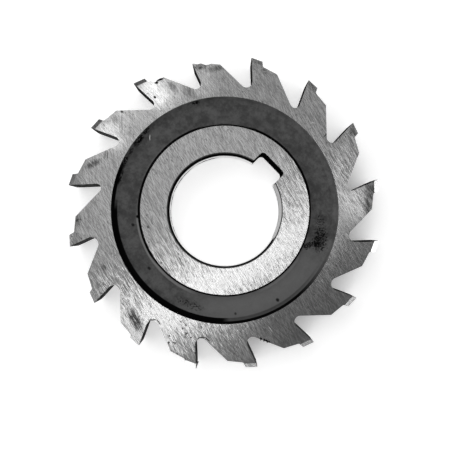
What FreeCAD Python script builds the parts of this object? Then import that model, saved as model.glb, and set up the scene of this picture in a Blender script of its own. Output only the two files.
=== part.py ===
import FreeCAD, Part
import math
import os

# Slotting cutter of high-speed steel: one solid disc with straight teeth, a keyed bore
# and a shallow turned recess in each side. It lies flat on its lower face.
# Millimetres, +Z up. The origin is on the bore's axis, in the lower face. The keyway faces +Y.
# Angles are in degrees, counterclockwise from +X as seen from above.

# The disc
width = 8.0
outer_diameter = 61.0
tooth_count = 16
first_tooth_angle = 13.1

# The toothed ring was ground a little off the bore: the rim is wider on one side
runout = 0.5
runout_angle = 294.0

# One tooth, from its cutting edge back to its heel
rake_angle = 12.5
land_length = 2.3
land_relief = 10.0
step_depth = 1.1
step_lean = 12.0
step_fillet = 0.45
heel_length = 3.1
heel_relief = 18.0
chamfer_width = 0.85
chamfer_depth = 0.5

# Two teeth that were ground back less behind the land, by tooth number
shallow_steps = {11: 0.9, 12: 0.65}

# The gullet in front of each tooth. They were ground one by one, so their roots differ.
gullet_angle = 44.0
gullet_radii = [
    1.25, 1.15, 0.95, 1.05, 0.95, 1.15, 1.05, 1.0,
    0.95, 0.8, 1.35, 1.25, 1.3, 1.2, 1.15, 1.15,
]

# Keyed bore
bore_diameter = 22.0
bore_chamfer = 0.2
key_width = 6.0
key_reach = 24.3
key_corner_radius = 0.8

# Recess between the hub's face and the rim's face, on both sides
hub_diameter = 32.6
rim_inner_diameter = 43.9
recess_depth = 1.0
recess_flank_angle = 30.0
recess_fillet = 0.8

# Wear and damage, by tooth number counterclockwise from the first one. A ragged outline is a row of
# points in the tooth's own frame: how deep below the tip circle, and how far behind the cutting edge.
broken_tooth = 6
broken_slope = 1.1
broken_outline = [
    (1.05, 0.0), (1.13, 0.3), (1.01, 0.65), (1.19, 1.3), (1.25, 1.95), (1.5, 2.5),
    (1.88, 2.8), (2.0, 3.3), (1.9, 3.8),
]
broken_slope_outline = [(1.15, 0.3), (1.8, 0.65), (2.3, 0.95), (2.0, 1.8), (2.7, 2.5), (1.9, 3.0)]

chipped_tooth = 7
chip_depth = 2.2
chip_slope = 0.55
chip_outline = [(1.2, 2.9), (1.97, 3.23), (2.35, 3.66), (2.16, 4.04), (2.22, 4.6), (2.16, 5.2), (1.9, 5.7)]

blunt_tooth = 5
blunt_outline = [(1.7, 4.4), (2.4, 5.3), (2.85, 5.8), (3.35, 6.25)]

burred_tooth = 15
burr_places = (3.4, 4.1, 4.75)
burr_height = 0.25
burr_length = 0.4
burr_depth = 1.2

# A burr thrown over the cutting edge of another tooth, at its tip
tip_burr_tooth = 13
tip_burr_length = 1.05
tip_burr_height = 0.5
tip_burr_overhang = 0.2

# How far a cutting tool shape runs past what it cuts
clearance = 1.0

tip_radius = outer_diameter / 2
pitch_angle = 360.0 / tooth_count
ring_centre = FreeCAD.Vector(
    runout * math.cos(math.radians(runout_angle)),
    runout * math.sin(math.radians(runout_angle)),
    0,
)


def vector(x, y, z=0.0):
    return FreeCAD.Vector(x, y, z)


def heading(angle):
    """Unit vector in the plane of the disc, pointing along an angle."""
    return vector(math.cos(math.radians(angle)), math.sin(math.radians(angle)))


def turned(point, angle):
    """A point turned about the Z axis."""
    c = math.cos(math.radians(angle))
    s = math.sin(math.radians(angle))
    return vector(point.x * c - point.y * s, point.x * s + point.y * c, point.z)


def crossing(p, p_angle, q, q_angle):
    """Where a line through p meets a line through q, each along its own angle."""
    u = heading(p_angle)
    v = heading(q_angle)
    gap = q - p
    along = (gap.x * v.y - gap.y * v.x) / (u.x * v.y - u.y * v.x)
    return p + u * along


def corner_arc(before, corner, after, radius):
    """Start, middle and end of the arc that rounds the corner of a three-point path."""
    to_before = (before - corner).normalize()
    to_after = (after - corner).normalize()
    half = to_before.getAngle(to_after) / 2
    setback = radius / math.tan(half)
    bisector = (to_before + to_after).normalize()
    middle = corner + bisector * (radius / math.sin(half) - radius)
    return corner + to_before * setback, middle, corner + to_after * setback


def polygon_prism(points, direction):
    """Solid swept along a direction from a flat polygon."""
    face = Part.Face(Part.makePolygon(points + [points[0]]))
    return face.extrude(direction)


# A tooth in its own frame: the ring's centre at the origin and the cutting edge on +X.
# The tooth cuts counterclockwise, so its land and heel lie on the -Y side.
tip = vector(tip_radius, 0)
land_end = tip + heading(270 - land_relief) * land_length
back_angle = rake_angle + gullet_angle - pitch_angle


def step_and_heel(tooth):
    """Foot of the step behind a tooth's land, and the corner of its heel."""
    depth = shallow_steps.get(tooth % tooth_count, step_depth)
    foot = land_end + heading(180 + step_lean) * (depth / math.cos(math.radians(step_lean)))
    return foot, foot + heading(270 - heel_relief) * heel_length


def tooth_edges(tooth):
    """Outline from this tooth's heel, over its cutting edge and gullet, to the next heel."""
    step_foot, heel = step_and_heel(tooth)
    next_heel = turned(step_and_heel(tooth + 1)[1], pitch_angle)
    gullet_vertex = crossing(tip, rake_angle, next_heel, rake_angle + gullet_angle)
    foot_in, foot_mid, foot_out = corner_arc(heel, step_foot, land_end, step_fillet)
    root_in, root_mid, root_out = corner_arc(tip, gullet_vertex, next_heel, gullet_radii[tooth])
    return [
        Part.LineSegment(heel, foot_in).toShape(),
        Part.Arc(foot_in, foot_mid, foot_out).toShape(),
        Part.LineSegment(foot_out, land_end).toShape(),
        Part.LineSegment(land_end, tip).toShape(),
        Part.LineSegment(tip, root_in).toShape(),
        Part.Arc(root_in, root_mid, root_out).toShape(),
        Part.LineSegment(root_out, next_heel).toShape(),
    ]


def place_on_ring(shape, tooth):
    """Turn a shape from a tooth's own frame to its place on the ring."""
    placed = shape.copy()
    placed.rotate(vector(0, 0), vector(0, 0, 1), first_tooth_angle + tooth * pitch_angle)
    placed.translate(ring_centre)
    return placed


def toothed_blank():
    """Disc with the outline of all the teeth, milled straight through its width."""
    outline = []
    for tooth in range(tooth_count):
        outline += [place_on_ring(edge, tooth) for edge in tooth_edges(tooth)]
    return Part.Face(Part.Wire(outline)).extrude(vector(0, 0, width))


def corner_cutter(face_height, outward):
    """Prism that takes the corner off a land where it meets one side of the disc."""
    normal = heading(-land_relief)
    along = heading(270 - land_relief)
    start = tip - along * clearance
    length = clearance + land_length + step_depth * math.tan(math.radians(step_lean))
    inner = -chamfer_width * (1 + clearance / chamfer_depth)
    foot = -chamfer_depth * (1 + clearance / chamfer_width)
    section = [(inner, clearance), (clearance, foot), (clearance, clearance)]
    points = [
        start + normal * depth + vector(0, 0, face_height + outward * height)
        for depth, height in section
    ]
    return polygon_prism(points, along * length)


def corner_cutters():
    """The chamfers of every land, on both sides of the disc."""
    pair = [corner_cutter(width, 1), corner_cutter(0, -1)]
    return [place_on_ring(cutter, tooth) for tooth in range(tooth_count) for cutter in pair]


def keyed_bore():
    """Bore with a broken edge at each end, and the keyway beside it."""
    radius = bore_diameter / 2
    bore = Part.makeCylinder(radius, width + 2 * clearance, vector(0, 0, -clearance))
    lower = Part.makeCone(
        radius + bore_chamfer + clearance, radius - clearance,
        bore_chamfer + 2 * clearance, vector(0, 0, -clearance),
    )
    upper = Part.makeCone(
        radius - clearance, radius + bore_chamfer + clearance,
        bore_chamfer + 2 * clearance, vector(0, 0, width - bore_chamfer - clearance),
    )
    return bore.fuse([lower, upper, keyway()])


def keyway():
    """Keyway with rounded floor corners, through the whole width."""
    half = key_width / 2
    floor = key_reach - bore_diameter / 2
    slot = Part.makeBox(key_width, floor, width + 2 * clearance, vector(-half, 0, -clearance))
    floor_corners = [
        edge for edge in slot.Edges
        if all(abs(v.Y - floor) < key_corner_radius for v in edge.Vertexes)
        and abs(edge.Vertexes[0].Z - edge.Vertexes[1].Z) > width
    ]
    return slot.makeFillet(key_corner_radius, floor_corners)


def recess(face_height, inward):
    """Ring-shaped recess with sloping flanks and a rounded floor, cut into one side."""
    spread = recess_depth * math.tan(math.radians(recess_flank_angle))
    hub_edge = vector(hub_diameter / 2, 0)
    rim_edge = vector(rim_inner_diameter / 2, 0)
    hub_foot = vector(hub_edge.x + spread, recess_depth)
    rim_foot = vector(rim_edge.x - spread, recess_depth)
    hub_in, hub_mid, hub_out = corner_arc(hub_edge, hub_foot, rim_foot, recess_fillet)
    rim_in, rim_mid, rim_out = corner_arc(hub_foot, rim_foot, rim_edge, recess_fillet)
    flank_rise = clearance * math.tan(math.radians(recess_flank_angle))
    hub_top = vector(hub_edge.x - flank_rise, -clearance)
    rim_top = vector(rim_edge.x + flank_rise, -clearance)

    def on_section(point):
        return vector(point.x, 0, face_height + inward * point.y)

    corners = [hub_top, hub_in, hub_mid, hub_out, rim_in, rim_mid, rim_out, rim_top]
    a, b, c, d, e, f, g, h = [on_section(point) for point in corners]
    section = Part.Wire([
        Part.LineSegment(a, b).toShape(),
        Part.Arc(b, c, d).toShape(),
        Part.LineSegment(d, e).toShape(),
        Part.Arc(e, f, g).toShape(),
        Part.LineSegment(g, h).toShape(),
        Part.LineSegment(h, a).toShape(),
    ])
    return Part.Face(section).revolve(vector(0, 0), vector(0, 0, 1), 360)


def ragged(outline, height):
    """Closed outline that runs along the ragged points and back outside the tip circle."""
    inner = [vector(tip_radius - depth, -behind, height) for depth, behind in outline]
    first = vector(tip_radius + clearance, inner[0].y + clearance / 2, height)
    last = vector(tip_radius + clearance, inner[-1].y - clearance / 2, height)
    return [first] + inner + [last]


def broken_land():
    """A land broken away at its root, with a ragged slope down from the upper side."""
    through = polygon_prism(ragged(broken_outline, -clearance), vector(0, 0, width + 2 * clearance))
    slope = ragged(broken_slope_outline, width)
    return [through, polygon_prism(slope, vector(broken_slope, 0, -broken_slope))]


def heel_chip():
    """A steep chip out of the upper edge of a heel."""
    return [polygon_prism(ragged(chip_outline, width), vector(chip_slope, 0, -chip_depth))]


def blunt_heel():
    """A heel whose corner is worn down through the whole width."""
    through = vector(0, 0, width + 2 * clearance)
    return [polygon_prism(ragged(blunt_outline, -clearance), through)]


def burrs():
    """Small burrs that stand out of a back slope, near the gullet."""
    heel = step_and_heel(burred_tooth)[1]
    down_slope = heading(180 + back_angle)
    outward = heading(270 + back_angle)
    prisms = []
    for distance in burr_places:
        middle = heel + down_slope * distance
        points = [
            middle - down_slope * burr_length - outward * burr_height,
            middle + outward * burr_height,
            middle + down_slope * burr_length - outward * burr_height,
        ]
        upper = [point + vector(0, 0, width) for point in points]
        prisms.append(polygon_prism(upper, vector(0, 0, -burr_depth)))
    return [place_on_ring(prism, burred_tooth) for prism in prisms]


def tip_burr():
    """A wedge of burr that hangs over a cutting edge, from the foot of its chamfer down."""
    inward = heading(180 + rake_angle)
    proud = heading(90 + rake_angle) * tip_burr_height
    root = tip + inward * tip_burr_length
    points = [root - proud, root + proud, tip - inward * tip_burr_overhang]
    upper = [point + vector(0, 0, width - chamfer_depth) for point in points]
    return place_on_ring(polygon_prism(upper, vector(0, 0, -burr_depth)), tip_burr_tooth)


def breaks():
    """What is broken or worn off, each from its own tooth."""
    marks = [
        (broken_tooth, broken_land()),
        (chipped_tooth, heel_chip()),
        (blunt_tooth, blunt_heel()),
    ]
    return [place_on_ring(cut, tooth) for tooth, cuts in marks for cut in cuts]


def slotting_cutter():
    """The whole cutter, in the order that it is made and then worn."""
    body = toothed_blank()
    body = body.cut([recess(width, -1), recess(0, 1)])
    body = body.cut(keyed_bore())
    body = body.cut(corner_cutters())
    body = body.cut(breaks())
    body = body.fuse(burrs() + [tip_burr()])
    return body.removeSplitter()


os.makedirs("parts", exist_ok=True)
cutter = slotting_cutter().Solids[0]
cutter.exportStep("parts/cutter_body.step")
print("cutter_body", round(cutter.Volume), "mm3")
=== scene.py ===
import bpy
import math
from mathutils import Matrix, Vector

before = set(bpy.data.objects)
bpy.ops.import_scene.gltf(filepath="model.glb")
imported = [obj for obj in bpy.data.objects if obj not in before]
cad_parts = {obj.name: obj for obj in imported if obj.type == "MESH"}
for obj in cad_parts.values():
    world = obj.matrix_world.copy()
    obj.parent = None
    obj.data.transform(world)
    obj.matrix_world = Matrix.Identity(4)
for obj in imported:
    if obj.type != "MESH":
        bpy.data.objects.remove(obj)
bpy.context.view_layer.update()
scene = bpy.context.scene
scene.view_settings.view_transform = "Standard"

# The camera: it is held straight above the cutter, 129 mm over the floor, so it sees a little of
# every wall that faces the middle. The picture's right is turned 45.7 degrees from +X, which
# puts the keyway, on +Y, at the picture's upper right.
picture_turn = 45.7
camera_place = (0.00274, -0.00192, 0.129)
camera_data = bpy.data.cameras.new("camera")
camera_data.lens = 49.7
camera_data.sensor_width = 36.0
camera_data.clip_start = 0.01
camera = bpy.data.objects.new("camera", camera_data)
camera.location = camera_place
camera.rotation_euler = (0.0, 0.0, math.radians(picture_turn))
scene.collection.objects.link(camera)
scene.camera = camera

# The cutter: one disc of hardened high-speed steel. Both side faces were ground flat on a surface
# grinder, whose fine parallel scratches draw each reflection out across them. The recess between
# hub and rim was turned before hardening and keeps the black skin of the furnace.
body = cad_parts["cutter_body"]
thickness = 8.0
bore_radius = 11.0
keyway_reach = 13.3
hub_radius = 16.3
rim_radius = 21.95
chamfer_start = 26.0
beyond_tips = 40.0
ring_centre = (0.2, -0.46, 0.0)

high_speed_steel = bpy.data.materials.new("surface_ground_high_speed_steel")
high_speed_steel.use_nodes = True
steel = high_speed_steel.node_tree


def linear(hex_colour):
    """The linear colour of an sRGB hex value."""
    channels = [int(hex_colour[i:i + 2], 16) / 255 for i in (1, 3, 5)]
    light = [c / 12.92 if c <= 0.04045 else ((c + 0.055) / 1.055) ** 2.4 for c in channels]
    return (*light, 1.0)


def add(tree, kind, inputs, output=None, **settings):
    """Adds one node with its settings, fills or links its inputs, and gives one of its outputs."""
    node = tree.nodes.new("ShaderNode" + kind)
    for name, value in settings.items():
        setattr(node, name, value)
    in_use = [socket for socket in node.inputs if socket.enabled]
    by_name = inputs if isinstance(inputs, dict) else {}
    in_order = [] if isinstance(inputs, dict) else inputs
    pairs = list(zip(in_use, in_order))
    pairs += [(socket, by_name[socket.name]) for socket in in_use if socket.name in by_name]
    for socket, value in pairs:
        if isinstance(value, bpy.types.NodeSocket):
            tree.links.new(value, socket)
        else:
            socket.default_value = value
    return node.outputs[output] if output else next(s for s in node.outputs if s.enabled)


# Where a point of the steel is, in millimetres, and which way its surface faces
metres = add(steel, "TexCoord", [], "Object")
place = add(steel, "VectorMath", {"Vector": metres, "Scale": 1000.0}, operation="SCALE")
height = add(steel, "SeparateXYZ", [place], "Z")
flat_place = add(steel, "VectorMath", [place, (1, 1, 0)], operation="MULTIPLY")
radius = add(steel, "VectorMath", [flat_place], "Value", operation="LENGTH")
outward = add(steel, "VectorMath", [flat_place], operation="NORMALIZE")
from_ring = add(steel, "VectorMath", [flat_place, ring_centre], operation="SUBTRACT")
ring_radius = add(steel, "VectorMath", [from_ring], "Value", operation="LENGTH")
surface = add(steel, "NewGeometry", [], "True Normal")
rounded_surface = add(steel, "NewGeometry", [], "Normal")
upward = add(steel, "SeparateXYZ", [surface], "Z")
upright = add(steel, "Math", [upward], operation="ABSOLUTE")
faces_out = add(steel, "VectorMath", [surface, outward], "Value", operation="DOT_PRODUCT")
over_middle = add(steel, "Math", [height, thickness / 2], operation="SUBTRACT")
from_middle = add(steel, "Math", [over_middle], operation="ABSOLUTE")
depth = add(steel, "Math", [thickness / 2, from_middle], operation="SUBTRACT")

# A zone is 1 where a finish holds and 0 elsewhere. Its edges are eased from one to the other.
eased = {"interpolation_type": "SMOOTHSTEP"}


def ring_zone(inner, outer, soft):
    """A ring around the bore's axis, in millimetres, with soft edges."""
    past_inner = add(steel, "MapRange", [radius, inner - soft, inner], **eased)
    short_of_outer = add(steel, "MapRange", [radius, outer + soft, outer], **eased)
    return add(steel, "Math", [past_inner, short_of_outer], operation="MULTIPLY")


def sector(angle, narrow, wide):
    """A soft sector of the disc around an angle from +X: full inside narrow, gone outside wide."""
    middle = (math.cos(math.radians(angle)), math.sin(math.radians(angle)), 0.0)
    toward = add(steel, "VectorMath", [outward, middle], "Value", operation="DOT_PRODUCT")
    limits = [toward, math.cos(math.radians(wide)), math.cos(math.radians(narrow))]
    return add(steel, "MapRange", limits, **eased)


def together(*zones):
    """The common part of several zones. A number among them is the strength."""
    common = zones[0]
    for zone in zones[1:]:
        common = add(steel, "Math", [common, zone], operation="MULTIPLY")
    return common


def either(*zones):
    """The strongest of several zones."""
    strongest = zones[0]
    for zone in zones[1:]:
        strongest = add(steel, "Math", [strongest, zone], operation="MAXIMUM")
    return strongest


# The walls that run straight through the disc, the recess under the level of the side faces,
# and the bevels at the corners of the teeth and around the bore
wall = add(steel, "MapRange", [upright, 0.35, 0.25], **eased)
land = together(wall, add(steel, "MapRange", [faces_out, 0.7, 0.8], **eased))
not_land = add(steel, "Math", [1.0, land], operation="SUBTRACT")
not_wall = add(steel, "Math", [1.0, wall], operation="SUBTRACT")
gullet_wall = together(wall, ring_zone(rim_radius + 0.55, beyond_tips, 0.5), not_land)
bore_wall = together(wall, ring_zone(0.0, keyway_reach + 0.5, 0.5))
sunk = add(steel, "MapRange", [depth, 0.01, 0.04], **eased)
recess = together(sunk, ring_zone(hub_radius - 0.1, rim_radius + 0.1, 0.1))
bevel = add(steel, "MapRange", [upright, 0.97, 0.93], **eased)
chamfer = together(bevel, ring_zone(chamfer_start, beyond_tips, 1.0))
bore_bevel = together(bevel, not_wall, ring_zone(0.0, bore_radius + 0.4, 0.1), 0.9)

# Grinding scratches: real ones are a few hundredths of a millimetre apart, so they are drawn
# about two tenths apart, which is the finest that shows. They run in long arcs, with a second
# set that bows the other way and crosses the first at a small angle.
grind_angle = math.radians(-12.3)
bow_radius = 150.0
crossed_bow_radius = 60.0
crossed_slope = 0.12
change_through = 0.4
along = Vector((math.cos(grind_angle), math.sin(grind_angle), 0.0))
across = Vector((-along.y, along.x, 0.0))
along_grind = add(steel, "VectorMath", [place, along], "Value", operation="DOT_PRODUCT")
across_grind = add(steel, "VectorMath", [place, across], "Value", operation="DOT_PRODUCT")
squared = add(steel, "Math", [along_grind, along_grind], operation="MULTIPLY")
bow = [squared, 1 / (2 * bow_radius), across_grind]
across_bowed = add(steel, "Math", bow, operation="MULTIPLY_ADD")
turn = [along_grind, crossed_slope, across_grind]
across_turned = add(steel, "Math", turn, operation="MULTIPLY_ADD")
crossed_bow = [squared, -1 / (2 * crossed_bow_radius), across_turned]
across_crossed = add(steel, "Math", crossed_bow, operation="MULTIPLY_ADD")


def scratches(line, length, spacing, detail):
    """Noise drawn out along the grinding direction, by the length and spacing of its scratches."""
    down = add(steel, "Math", [along_grind, 1 / length], operation="MULTIPLY")
    over = add(steel, "Math", [line, 1 / spacing], operation="MULTIPLY")
    through = add(steel, "Math", [from_middle, change_through], operation="MULTIPLY")
    stretched = add(steel, "CombineXYZ", [down, over, through])
    pattern = {"Vector": stretched, "Scale": 1.0, "Detail": detail, "Roughness": 0.75}
    return add(steel, "TexNoise", pattern)


fine = scratches(across_bowed, length=1.7, spacing=0.1, detail=2.0)
crossed = scratches(across_crossed, length=2.0, spacing=0.12, detail=1.0)
glint = scratches(across_bowed, length=1.3, spacing=0.1, detail=1.0)
grain = 0.0
for scratch_set, share in ((fine, 0.45), (crossed, 0.3), (glint, 0.25)):
    grain = add(steel, "Math", [scratch_set, share, grain], operation="MULTIPLY_ADD")

# On the walls the marks of the cutting tools are fainter and run around instead
mark_length = 5.0
mark_spacing = 0.25
wall_steps = (1 / mark_length, 1 / mark_length, 1 / mark_spacing)
around_wall = add(steel, "VectorMath", [place, wall_steps], operation="MULTIPLY")
wall_marks = {"Vector": around_wall, "Scale": 1.0, "Detail": 2.0, "Roughness": 0.6}
wall_marks = add(steel, "TexNoise", wall_marks)
wall_marks = add(steel, "MapRange", [wall_marks, 0.0, 1.0, 0.32, 0.68])
grain = add(steel, "Mix", [wall, grain, wall_marks])
bright_scratch = add(steel, "MapRange", [grain, 0.41, 0.59], **eased)

# Stains, pits and single scratches are ellipses whose edges are frayed by some noise
frays_per_mm = 1.6
fray = {"Vector": place, "Scale": frays_per_mm, "Detail": 3.0, "Roughness": 0.6}
fray = add(steel, "TexNoise", fray, "Color")
fray = add(steel, "VectorMath", [fray, (0.5, 0.5, 0.5)], operation="SUBTRACT")
frayed = [fray, (0.7, 0.7, 0.0), flat_place]
frayed_place = add(steel, "VectorMath", frayed, operation="MULTIPLY_ADD")
barely_frayed = [fray, (0.2, 0.2, 0.0), flat_place]
barely_frayed_place = add(steel, "VectorMath", barely_frayed, operation="MULTIPLY_ADD")


def marks(points, core, ellipses):
    """The strongest of many ellipses, each x, y, half length, half width, angle and strength."""
    strongest = 0.0
    for x, y, half_length, half_width, angle, strength in ellipses:
        lie = math.radians(angle)
        lengthwise = Vector((math.cos(lie), math.sin(lie), 0.0)) / half_length
        crosswise = Vector((-math.sin(lie), math.cos(lie), 0.0)) / half_width
        down = add(steel, "VectorMath", [points, lengthwise], "Value", operation="DOT_PRODUCT")
        over = add(steel, "VectorMath", [points, crosswise], "Value", operation="DOT_PRODUCT")
        framed = add(steel, "CombineXYZ", [down, over, 0.0])
        centre = (
            x * lengthwise.x + y * lengthwise.y, x * crosswise.x + y * crosswise.y, 0.0,
        )
        away = add(steel, "VectorMath", [framed, centre], "Value", operation="DISTANCE")
        mark = add(steel, "MapRange", [away, core, 1.3, strength, 0.0], **eased)
        strongest = add(steel, "Math", [mark, strongest], operation="MAXIMUM")
    return strongest


# Stains of old coolant and rust on the teeth and the hub, darkest down in the scratches
stains = marks(frayed_place, core=0.2, ellipses=[
    (-23.3, 16.0, 1.3, 0.9, 58, 0.9), (-20.5, 18.2, 2.6, 0.7, 58, 0.6),
    (-24.0, 9.4, 1.5, 0.6, -12, 0.7), (-27.1, -2.8, 1.1, 0.8, 0, 0.4),
    (-21.0, 11.1, 1.9, 1.2, -12, 0.4), (-24.1, -11.9, 1.8, 0.7, 74, 0.75),
    (-26.2, -12.6, 0.8, 0.6, 40, 0.4), (-18.4, -21.7, 1.1, 0.7, -40, 0.5),
    (-8.4, -24.5, 0.7, 0.6, 0, 0.6), (3.2, -27.1, 2.8, 1.2, -15, 1.0),
    (1.2, -24.6, 2.0, 0.5, -15, 0.3), (17.2, 22.8, 3.0, 1.6, -32, 0.8),
    (18.6, 20.6, 2.6, 1.1, -44, 0.8), (6.5, 28.0, 1.0, 0.6, -20, 0.6),
    (9.6, 23.0, 0.7, 0.6, 0, 0.35), (-10.3, 9.4, 1.2, 0.8, 0, 0.25),
    (12.0, 26.0, 1.6, 0.5, -15, 0.35),
])
dirt_in_scratches = add(steel, "MapRange", [grain, 0.38, 0.62, 1.7, 0.3])
stains = together(stains, dirt_in_scratches)
specks_per_mm = 2.4
specks = {"Vector": place, "Scale": specks_per_mm, "Detail": 2.0, "Roughness": 0.5}
specks = add(steel, "TexNoise", specks)
specks = add(steel, "MapRange", [specks, 0.62, 0.72, 0.0, 0.6], **eased)

pits_and_shade = marks(barely_frayed_place, core=0.5, ellipses=[
    # Pits and nicks of the teeth
    (-25.0, 5.6, 0.3, 0.25, 0, 1.0), (-26.8, 7.8, 0.35, 0.3, 60, 1.0),
    (-26.7, 8.7, 0.8, 0.2, 67, 1.0), (-18.8, 20.3, 0.3, 0.3, 0, 0.8),
    (-14.1, 24.3, 0.5, 0.25, 30, 0.6), (-13.5, 24.1, 0.3, 0.2, 0, 0.6),
    (-27.45, -0.86, 0.35, 0.3, 0, 0.8), (11.8, -22.0, 0.25, 0.25, 0, 0.7),
    (10.6, -21.7, 0.2, 0.2, 0, 0.7), (10.7, -25.5, 0.2, 0.2, 0, 0.8),
    (11.6, -24.7, 0.2, 0.2, 0, 0.8), (20.2, -18.6, 0.2, 0.2, 0, 0.5),
    (21.0, -17.5, 0.2, 0.2, 0, 0.5), (20.8, -16.9, 0.2, 0.2, 0, 0.5),
    (29.6, -5.1, 0.4, 0.3, 0, 1.0), (-18.5, -21.7, 0.45, 0.2, 100, 0.7),
    (-18.2, -21.2, 0.3, 0.15, 20, 0.6), (9.45, -21.03, 0.2, 0.15, 0, 0.9),
    (10.58, -20.79, 0.2, 0.15, 0, 0.9), (11.85, -21.78, 0.2, 0.15, 0, 0.9),
    (12.98, -21.78, 0.2, 0.15, 0, 0.9), (9.84, -24.53, 0.2, 0.15, 0, 0.9),
    (10.71, -25.62, 0.2, 0.15, 0, 0.9), (11.32, -24.86, 0.2, 0.15, 0, 0.9),
    (13.47, -25.83, 0.2, 0.15, 0, 0.9), (15.68, -23.28, 0.2, 0.15, 0, 0.9),
    # Pits of the hub and the recess
    (-8.0, -12.8, 0.35, 0.25, 0, 0.7), (-1.3, -15.8, 0.3, 0.2, 0, 0.6),
    (-10.9, -12.85, 0.5, 0.35, 45, 1.0), (-10.45, -14.7, 0.4, 0.3, 0, 0.8),
    (-2.2, -18.35, 0.4, 0.3, 0, 0.8), (19.6, -4.8, 0.4, 0.35, 0, 0.9),
    (15.8, -12.5, 0.3, 0.25, 0, 0.7),
    # Dark scratches
    (-23.8, -9.0, 0.95, 0.12, 135, 0.75), (-23.4, -8.75, 0.95, 0.12, 135, 0.75),
    (-25.9, -2.4, 2.1, 0.16, 135, 0.3), (-8.5, -11.25, 0.9, 0.1, 135, 0.5),
    # Black behind the burrs of one tooth's back
    (22.6, -12.25, 0.35, 0.25, 0, 1.0), (23.2, -11.95, 0.3, 0.22, 0, 1.0),
    (23.65, -11.8, 0.35, 0.3, 0, 1.0), (24.1, -11.55, 0.3, 0.25, 0, 1.0),
    # Painted shade along the upper edges of three cutting faces and of two gullet roots
    (22.85, 15.05, 2.7, 0.3, 45.7, 1.0), (15.05, 22.55, 2.7, 0.3, 66.7, 1.0),
    (3.23, 25.72, 2.5, 0.22, 89.3, 1.0), (5.43, -24.64, 0.8, 0.12, 45.7, 0.9),
    (6.51, -24.13, 0.6, 0.12, -4.3, 0.9), (5.18, -25.34, 0.4, 0.12, 105.7, 0.9),
    (14.46, -20.2, 0.8, 0.12, 45.7, 0.9), (15.47, -19.74, 0.7, 0.12, 5.7, 0.9),
    (14.13, -20.99, 0.4, 0.12, 95.7, 0.9),
])
# A few fresh scratches that catch the light
bright_marks = marks(barely_frayed_place, core=0.4, ellipses=[
    (22.5, -9.65, 0.8, 0.09, -9, 0.8), (23.0, -10.1, 0.5, 0.07, -9, 0.6),
    (-0.2, 24.0, 0.5, 0.08, 30, 0.7), (-20.3, -0.5, 0.6, 0.09, 136, 0.6),
])

# Ground steel is a bright neutral grey. It is duller toward the worn tips, and painted shade
# darkens two sides of the rim. Painted highlights brighten three teeth, most in their scratches,
# and a patch of the rim in its scratches only.
rim = ring_zone(rim_radius, beyond_tips, 0.5)
dull_and_shaded = either(
    together(rim, sector(18, 30, 62), 0.62),
    together(rim, sector(105, 30, 60), 0.28),
    add(steel, "MapRange", [ring_radius, 27.2, 29.6, 0.0, 0.35], **eased),
)
# Painted highlights on three teeth and on a patch of the rim
bright_teeth_highlight = marks(frayed_place, core=0.5, ellipses=[
    (-25.6, 5.8, 3.2, 2.4, 0, 1.0), (-25.8, -6.2, 3.0, 2.3, 0, 0.8),
    (-25.6, 13.0, 2.4, 1.0, -22, 0.7),
])
streak_highlight = marks(frayed_place, core=0.3, ellipses=[
    (16.8, 19.2, 5.5, 3.6, 0, 0.4), (10.5, 21.5, 4.0, 3.0, 0, 0.2),
])
painted_highlights = either(
    together(bright_teeth_highlight, either(bright_scratch, 0.45)), together(streak_highlight, bright_scratch),
)
# Painted highlight on the chamfers of the teeth on one side, painted shade on those of the
# opposite side
chamfer_highlight = together(chamfer, not_wall, sector(15, 30, 65))
chamfer_shade = together(chamfer, not_wall, sector(185, 24, 50))
ground = [bright_scratch, linear("#969696"), linear("#d8d8d8")]
ground = add(steel, "Mix", ground, data_type="RGBA")
for zone, tint in (
    (dull_and_shaded, "#606060"), (painted_highlights, "#ffffff"), (specks, "#505050"), (stains, "#303030"),
    (chamfer_highlight, "#f0f0f0"), (chamfer_shade, "#707070"),
):
    ground = add(steel, "Mix", [zone, ground, linear(tint)], data_type="RGBA")

# The recess: a thin dull skin of black oxide, uneven, with a painted sheen on one side and painted
# highlights along the foot of the hub and along the outer wall
blotches_per_mm = 0.5
blotches = {"Vector": place, "Scale": blotches_per_mm, "Detail": 5.0, "Roughness": 0.75}
blotches = add(steel, "TexNoise", blotches)
blotches = add(steel, "MapRange", [blotches, 0.35, 0.65], **eased)
sheen_side = together(sector(340, 20, 55), 0.75)
skirt_highlight = ring_zone(rim_radius - 0.95, rim_radius + 0.1, 0.15)
skirt_highlight = together(skirt_highlight, sector(88, 20, 65), 0.12)
foot_highlight = ring_zone(hub_radius + 0.6, hub_radius + 0.85, 0.25)
foot_highlight = together(foot_highlight, either(sector(261, 25, 38), together(sector(356, 10, 20), 0.8)), 0.9)
skin = [blotches, linear("#404040"), linear("#585858")]
skin = add(steel, "Mix", skin, data_type="RGBA")
for zone, tint in ((sheen_side, "#686868"), (either(skirt_highlight, foot_highlight), "#787878")):
    skin = add(steel, "Mix", [zone, skin, linear(tint)], data_type="RGBA")

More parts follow.
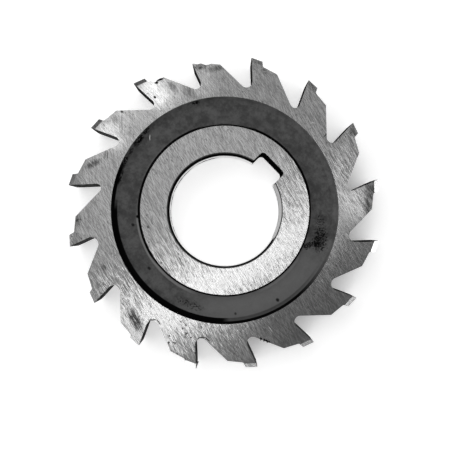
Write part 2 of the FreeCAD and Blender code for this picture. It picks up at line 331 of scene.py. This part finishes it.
# Soot in patches on the recess's floor, black patches on its outer wall, and black painted shade
# in its
# corners: around the hub, and along the outer wall, where it reaches in by up to a millimetre
soot_grains_per_mm = 3.0
soot_specks = {"Vector": place, "Scale": soot_grains_per_mm, "Detail": 2.0, "Roughness": 0.6}
soot_specks = add(steel, "TexNoise", soot_specks)
soot = marks(frayed_place, core=0.3, ellipses=[
    (16.9, 9.4, 3.8, 2.2, 130, 0.8), (17.0, 8.4, 2.0, 1.6, 130, 0.9),
    (16.2, 6.9, 2.2, 1.0, 70, 0.8), (14.4, 11.8, 2.8, 1.8, 130, 0.6),
    (8.3, -17.5, 4.8, 1.5, 25, 0.62),
])
soot = add(steel, "Math", [soot_specks, 1.6, soot], operation="MULTIPLY_ADD")
soot = add(steel, "MapRange", [soot, 1.3, 1.75], **eased)
patches = marks(frayed_place, core=0.6, ellipses=[
    (-18.8, 10.5, 0.8, 0.3, 60, 1.0), (-21.6, -0.2, 0.9, 0.35, 92, 1.0),
    (-21.3, -2.4, 1.5, 0.5, 96, 1.0), (-20.3, -7.5, 1.6, 0.5, 110, 1.0),
    (-18.9, -10.1, 1.7, 0.45, 118, 1.0), (-20.9, -4.9, 0.8, 0.25, 103, 0.8),
])
patches = together(patches, add(steel, "MapRange", [soot_specks, 0.4, 0.5], **eased))
hub_corner_shade = ring_zone(0.0, hub_radius + 0.35, 0.1)
deep_hub_corner_shade = ring_zone(0.0, hub_radius + 0.55, 0.1)
deep_hub_corner_shade = together(deep_hub_corner_shade, either(sector(206, 50, 60), sector(87, 28, 36)))
grime_and_shade = either(patches, hub_corner_shade, deep_hub_corner_shade, soot)
for angle, full_within, gone_outside, reach, soft, strength in (
    (270, 44, 52, 1.0, 0.15, 1.0),
    (304.7, 50, 84, 0.4, 0.2, 1.0),
    (304.7, 40, 84, 0.9, 0.3, 0.55),
    (222, 18, 24, 0.5, 0.2, 1.0),
):
    wall_shade = ring_zone(rim_radius - reach, rim_radius + 0.1, soft)
    wall_shade = together(wall_shade, sector(angle, full_within, gone_outside), strength)
    grime_and_shade = either(grime_and_shade, wall_shade)
grime_and_shade = together(recess, grime_and_shade)

# The gullet walls: dark grey smears, and painted shade, black along the upper and lower edges,
# which on one half of the rim reaches down to the middle. One side of the rim, the lit one, has
# none.
smears_per_mm = 0.9
smears = {"Vector": place, "Scale": smears_per_mm, "Detail": 3.0, "Roughness": 0.6}
smears = add(steel, "TexNoise", smears)
smears = add(steel, "MapRange", [smears, 0.35, 0.65], **eased)
smeared_wall = [smears, linear("#343434"), linear("#606060")]
smeared_wall = add(steel, "Mix", smeared_wall, data_type="RGBA")
unlit_rim_side = add(steel, "Math", [1.0, sector(0, 16, 26)], operation="SUBTRACT")
edge_line = add(steel, "MapRange", [depth, 1.6, 0.6], **eased)
deep_line = add(steel, "MapRange", [depth, 4.0, 2.6], **eased)
edge_line = either(edge_line, together(deep_line, sector(100, 72, 90)))
gullet_shade = together(gullet_wall, unlit_rim_side, edge_line)

# The bore's wall is painted black in its upper half and in the keyway, as painted shade, and has a
# second, broken line lower down on one side. Another side carries a painted reflection of the
# white floor, and is black only at its foot, as painted shade.
waves_per_mm = 0.35
waves = {"Vector": place, "Scale": waves_per_mm, "Detail": 2.0, "Roughness": 0.4}
waves = add(steel, "TexNoise", waves)
wavy_height = add(steel, "Math", [waves, 1.2, height], operation="MULTIPLY_ADD")
upper_wall_shade = add(steel, "MapRange", [wavy_height, 4.0, 4.7], **eased)
broken = add(steel, "MapRange", [smears, 0.2, 0.5], **eased)
lower_line = add(steel, "MapRange", [height, 2.2, 1.2], **eased)
lower_line = together(lower_line, sector(200, 45, 62), broken, 0.85)
keyway = together(ring_zone(bore_radius + 0.15, keyway_reach + 0.7, 0.1), sector(90, 18, 20))
reflecting_side = sector(45, 22, 32)
not_reflecting_side = add(steel, "Math", [1.0, reflecting_side], operation="SUBTRACT")
reflecting_side_foot_shade = add(steel, "MapRange", [height, 1.2, 0.6], **eased)
reflecting_side_foot_shade = together(reflecting_side_foot_shade, reflecting_side, 0.8)
bore_shade = either(together(upper_wall_shade, not_reflecting_side), reflecting_side_foot_shade, lower_line, keyway)
bore_shade = together(bore_wall, bore_shade)
floor_reflecting_wall = together(bore_wall, reflecting_side)

# Black for real pits and grime, and for painted shade in the recess, on the gullet walls, in the
# bore and on its bevel
black = either(grime_and_shade, gullet_shade, bore_shade, bore_bevel, pits_and_shade)
colour = ground
for zone, finish in (
    (recess, skin), (gullet_wall, smeared_wall), (floor_reflecting_wall, linear("#d8d8d8")),
    (bright_marks, linear("#f0f0f0")), (black, linear("#080808")),
):
    colour = add(steel, "Mix", [zone, colour, finish], data_type="RGBA")

# Bare steel is a metal. Skin, grime, painted shade and the wall with the painted reflection are
# not, and their gloss is low.
covered = either(recess, gullet_wall, floor_reflecting_wall, black)
metallic = add(steel, "Math", [1.0, covered], operation="SUBTRACT")
bare_roughness = add(steel, "MapRange", [grain, 0.4, 0.6, 0.15, 0.27], **eased)
roughness = add(steel, "Mix", [covered, bare_roughness, 0.5])

# Each scratch leans its bit of surface one way or the other along the grinding direction, more
# on a few worn teeth and less where the steel is duller and where shade is painted on it. The
# whole face of the worn teeth leans too. All leans are slopes.
scratch_tilt = 0.028
worn_tilt = 0.025
worn_teeth = marks(flat_place, core=0.3, ellipses=[
    (-25.0, 7.5, 5.0, 3.6, -12, worn_tilt), (-27.6, -3.4, 4.0, 3.0, -12, 0.02),
    (-20.0, 14.2, 3.2, 2.6, -12, 0.02), (-23.6, -5.2, 3.0, 2.2, -12, 0.015),
])
scratch_lean = [glint, 0.3, 0.7, -scratch_tilt, scratch_tilt]
scratch_lean = add(steel, "MapRange", scratch_lean, clamp=False)
deeper = add(steel, "MapRange", [worn_teeth, 0.0, worn_tilt, 1.0, 2.4])
shallower = add(steel, "MapRange", [dull_and_shaded, 0.0, 0.6, 1.0, 0.6])
scratch_lean = together(scratch_lean, deeper, shallower)
lean = add(steel, "Math", [scratch_lean, worn_teeth], operation="SUBTRACT")
leaning = {"Vector": tuple(along), "Scale": together(lean, not_wall)}
leaning = add(steel, "VectorMath", leaning, operation="SCALE")
facing = add(steel, "VectorMath", [rounded_surface, leaning], operation="ADD")
facing = add(steel, "VectorMath", [facing], operation="NORMALIZE")

# Scratches spread a reflection across themselves. The chamfers of the teeth were ground by
# themselves, across the corner.
around = add(steel, "VectorMath", [outward, (0.0, 0.0, 1.0)], operation="CROSS_PRODUCT")
tangent = add(steel, "Mix", [chamfer, tuple(across), around], data_type="VECTOR")

shader = steel.nodes["Principled BSDF"]
shader.inputs["Anisotropic"].default_value = 0.9
shader.inputs["Specular IOR Level"].default_value = 0.0
steel.links.new(colour, shader.inputs["Base Color"])
steel.links.new(metallic, shader.inputs["Metallic"])
steel.links.new(roughness, shader.inputs["Roughness"])
steel.links.new(facing, shader.inputs["Normal"])
steel.links.new(tangent, shader.inputs["Tangent"])
body.material_slots[0].material = high_speed_steel

# The floor: a large sheet of matt white paper, with a low white card standing around it. Both
# glow a little for the camera and in reflections, more so farther out and under the bore, so
# that they stay white where the lamps don't reach, and less among the teeth on the shaded side.
floor_half = 1.6
floor_drop = -0.00005
card_height = 0.3
corners = ((-1, -1), (1, -1), (1, 1), (-1, 1))
corners = [(x * floor_half, y * floor_half) for x, y in corners]
floor_mesh = bpy.data.meshes.new("floor")
floor_mesh.from_pydata([(x, y, floor_drop) for x, y in corners], [], [(0, 1, 2, 3)])
card_mesh = bpy.data.meshes.new("card")
card_points = [(x, y, z) for x, y in corners for z in (floor_drop, card_height)]
card_faces = [(0, 2, 3, 1), (2, 4, 5, 3), (4, 6, 7, 5), (6, 0, 1, 7)]
card_mesh.from_pydata(card_points, [], card_faces)

plain_glow = 0.45
far_glow = 0.8
bore_glow = 0.65
shade_depth = 0.27
shade_angle = math.radians(15)
white_paper = bpy.data.materials.new("matt_white_paper")
white_paper.use_nodes = True
paper = white_paper.node_tree
camera_ray = add(paper, "LightPath", [], "Is Camera Ray")
glossy_ray = add(paper, "LightPath", [], "Is Glossy Ray")
through_ray = add(paper, "LightPath", [], "Is Transmission Ray")
seen = add(paper, "Math", [camera_ray, glossy_ray], operation="ADD")
seen = add(paper, "Math", [seen, through_ray], operation="ADD")
paper_place = add(paper, "TexCoord", [], "Object")
from_cutter = add(paper, "VectorMath", [paper_place], "Value", operation="LENGTH")
rising = add(paper, "MapRange", [from_cutter, 0.05, 0.8, plain_glow, far_glow], **eased)
falling = add(paper, "MapRange", [from_cutter, 0.011, 0.018, bore_glow, plain_glow], **eased)
glow = add(paper, "Math", [rising, falling], operation="MAXIMUM")
shaded_side = (math.cos(shade_angle), math.sin(shade_angle), 0.0)
toward_shade = [paper_place, shaded_side]
toward_shade = add(paper, "VectorMath", toward_shade, "Value", operation="DOT_PRODUCT")
shade = add(paper, "MapRange", [toward_shade, 0.008, 0.020, 0.0, shade_depth], **eased)
among_teeth = add(paper, "MapRange", [from_cutter, 0.032, 0.025], **eased)
shade = add(paper, "Math", [shade, among_teeth], operation="MULTIPLY")
glow = add(paper, "Math", [glow, shade], operation="SUBTRACT")
glow = add(paper, "Math", [glow, seen], operation="MULTIPLY")
paper_shader = paper.nodes["Principled BSDF"]
paper_shader.inputs["Base Color"].default_value = linear("#f4f4f4")
paper_shader.inputs["Roughness"].default_value = 0.9
paper_shader.inputs["Specular IOR Level"].default_value = 0.0
paper_shader.inputs["Emission Color"].default_value = (1.0, 1.0, 1.0, 1.0)
paper.links.new(glow, paper_shader.inputs["Emission Strength"])
for name, mesh in (("floor", floor_mesh), ("card", card_mesh)):
    mesh.materials.append(white_paper)
    paper_object = bpy.data.objects.new(name, mesh)
    scene.collection.objects.link(paper_object)

# The light: soft boxes and white cards stand around and above the cutter, in an evenly lit
# white room. A narrow one nearly overhead makes the bright streak across the lower hub.
world = bpy.data.worlds.new("white_room")
scene.world = world
world.use_nodes = True
world.node_tree.nodes["Background"].inputs["Color"].default_value = (1, 1, 1, 1)
world.node_tree.nodes["Background"].inputs["Strength"].default_value = 0.3


def lamp(name, azimuth, elevation, long_axis, size, radiance):
    """A soft box one metre from the cutter and aimed at it; its angles are as in the picture."""
    width, length = size
    data = bpy.data.lights.new(name, "AREA")
    data.shape = "RECTANGLE"
    data.size = width
    data.size_y = length
    data.energy = radiance * math.pi * width * length
    bearing = math.radians(azimuth + picture_turn)
    rise = math.radians(elevation)
    away = (math.cos(bearing) * math.cos(rise), math.sin(bearing) * math.cos(rise), math.sin(rise))
    away = Vector(away)
    lie = math.radians(long_axis + picture_turn)
    width_axis = Vector((math.cos(lie), math.sin(lie), 0.0)).cross(away).normalized()
    length_axis = away.cross(width_axis)
    lamp_object = bpy.data.objects.new(name, data)
    lamp_object.matrix_world = Matrix((width_axis, length_axis, away)).transposed().to_4x4()
    lamp_object.location = away
    scene.collection.objects.link(lamp_object)


# Each lamp's azimuth, elevation, azimuth of its long side, width and length, and radiance
lamp("strip_box", 260, 84.3, 30, (0.08, 0.5), 2.85)
lamp("ceiling_panel", 120, 80, 120, (0.5, 0.4), 0.42)
lamp("window", 125, 68, 125, (0.5, 0.25), 0.7)
lamp("main_box", 130, 52, 130, (0.8, 0.6), 1.1)
lamp("left_wall", 130, 28, 130, (1.2, 0.4), 1.0)
lamp("top_wall", 80, 36, 80, (0.8, 0.5), 0.9)
lamp("right_wall", 14, 48, 14, (0.8, 0.5), 0.6)
lamp("low_wall", 185, 28, 185, (0.8, 0.4), 2.2)
lamp("near_card", 248, 16, 248, (0.6, 0.3), 3.1)
lamp("right_card", -12, 17, -12, (0.6, 0.25), 2.4)
